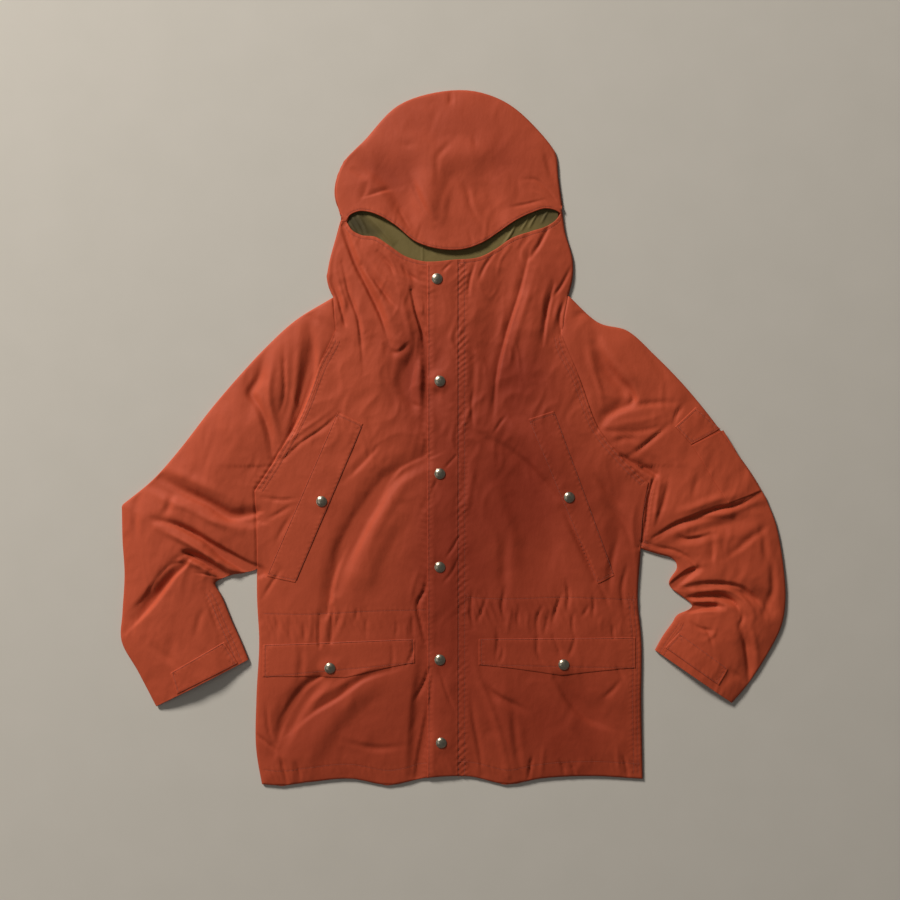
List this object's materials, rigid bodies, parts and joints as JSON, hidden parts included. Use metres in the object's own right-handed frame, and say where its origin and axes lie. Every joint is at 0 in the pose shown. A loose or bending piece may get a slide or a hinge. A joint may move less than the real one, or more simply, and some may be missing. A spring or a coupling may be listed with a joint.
{
  "type": "mountain parka",
  "caption": "Hooded mountain parka laid flat on its back, with raglan sleeves bent at the elbow, a snapped storm flap over the front and flapped chest and lower pockets.",
  "frame": {"origin": "on the surface that the parka lies on, under the middle of its outline seen from above", "axes": "+Y from the hem to the top of the hood, +X towards the wearer's left sleeve, +Z away from the surface, out of the fronts"},
  "size_m": [0.9667, 1.0093, 0.0153],
  "materials": {
    "shell": "brick orange poplin shell, smooth and close woven, low sheen",
    "lining": "olive poplin lining, dull",
    "snap": "antiqued nickel snap caps, domed, satin"
  },
  "bodies": {
    "root": {"body_back": "shell", "front_right": "shell", "front_left": "shell", "sleeve_right": "shell", "sleeve_left": "shell", "hood_back": "shell", "hood_crown": "shell", "storm_flap": "shell", "chest_flap_right": "shell", "chest_flap_left": "shell", "lower_flap_right": "shell", "lower_flap_left": "shell", "sleeve_pocket": "shell", "sleeve_pocket_flap": "shell", "cuff_tab_right": "shell", "cuff_tab_left": "shell", "hood_lining": "lining", "snap_front_1": "snap", "snap_front_2": "snap", "snap_front_3": "snap", "snap_front_4": "snap", "snap_front_5": "snap", "snap_front_6": "snap", "snap_chest_right": "snap", "snap_chest_left": "snap", "snap_lower_right": "snap", "snap_lower_left": "snap"}
  },
  "joints": []
}
